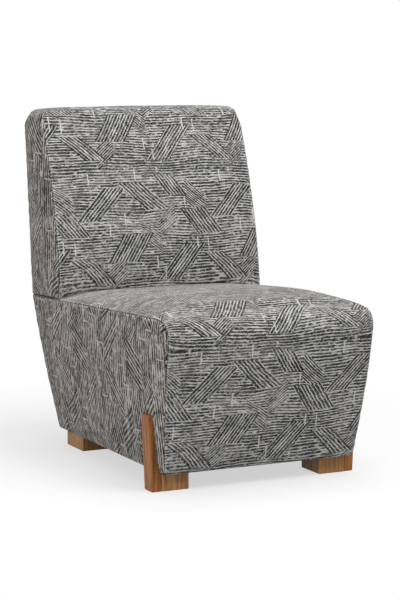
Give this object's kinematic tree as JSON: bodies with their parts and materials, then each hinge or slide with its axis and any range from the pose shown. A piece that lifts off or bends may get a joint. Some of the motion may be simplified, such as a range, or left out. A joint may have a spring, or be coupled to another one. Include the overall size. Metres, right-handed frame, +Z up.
{
  "type": "slipper chair",
  "caption": "Armless slipper chair with a waterfall seat, a raked padded back and low timber feet that run up its sides.",
  "frame": {"origin": "on the floor, below the middle of the chair", "axes": "+X to the right of someone who looks at the chair's front, +Y from the front to the rear, +Z up"},
  "size_m": [0.582, 0.853, 0.8676],
  "materials": {
    "front_cloth": "matte",
    "side_cloth": "matte",
    "foam": "matte",
    "batting": "matte",
    "cambric": "matte",
    "webbing": "matte",
    "frame_timber": "matte",
    "plywood": "matte",
    "stained_oak": "satin",
    "spring_steel": "satin"
  },
  "bodies": {
    "root": {"seat_cover": "front_cloth", "base_side_cover_left": "side_cloth", "base_side_cover_right": "side_cloth", "base_rear_cover": "side_cloth", "dust_cover": "cambric", "seat_foam": "foam", "front_pad": "foam", "base_side_pad_left": "batting", "base_side_pad_right": "batting", "base_side_panel_left": "plywood", "base_side_panel_right": "plywood", "front_bottom_rail": "frame_timber", "front_top_rail": "frame_timber", "rear_bottom_rail": "frame_timber", "rear_spring_rail": "frame_timber", "back_support_rail": "frame_timber", "corner_block_front_left": "frame_timber", "corner_block_front_right": "frame_timber", "corner_block_rear_left": "frame_timber", "corner_block_rear_right": "frame_timber", "seat_spring_1": "spring_steel", "front_spring_clip_1": "spring_steel", "rear_spring_clip_1": "spring_steel", "seat_spring_2": "spring_steel", "front_spring_clip_2": "spring_steel", "rear_spring_clip_2": "spring_steel", "seat_spring_3": "spring_steel", "front_spring_clip_3": "spring_steel", "rear_spring_clip_3": "spring_steel", "seat_spring_4": "spring_steel", "front_spring_clip_4": "spring_steel", "rear_spring_clip_4": "spring_steel", "seat_deck_cloth": "webbing", "back_front_cover": "front_cloth", "back_side_cover_left": "side_cloth", "back_side_cover_right": "side_cloth", "back_rear_cover": "side_cloth", "back_foam": "foam", "back_side_pad_left": "batting", "back_side_pad_right": "batting", "back_post_left": "plywood", "back_post_right": "plywood", "back_top_rail": "frame_timber", "back_bottom_rail": "frame_timber", "back_webbing_1": "webbing", "back_webbing_2": "webbing", "back_webbing_3": "webbing", "back_bolt_left": "spring_steel", "back_bolt_right": "spring_steel", "front_foot_upright_left": "stained_oak", "front_foot_upright_right": "stained_oak", "front_foot_block_left": "stained_oak", "front_foot_block_right": "stained_oak", "rear_foot_left": "stained_oak", "rear_foot_right": "stained_oak", "foot_bolt_front_left": "spring_steel", "foot_bolt_front_right": "spring_steel", "foot_bolt_rear_left": "spring_steel", "foot_bolt_rear_right": "spring_steel"}
  },
  "joints": []
}
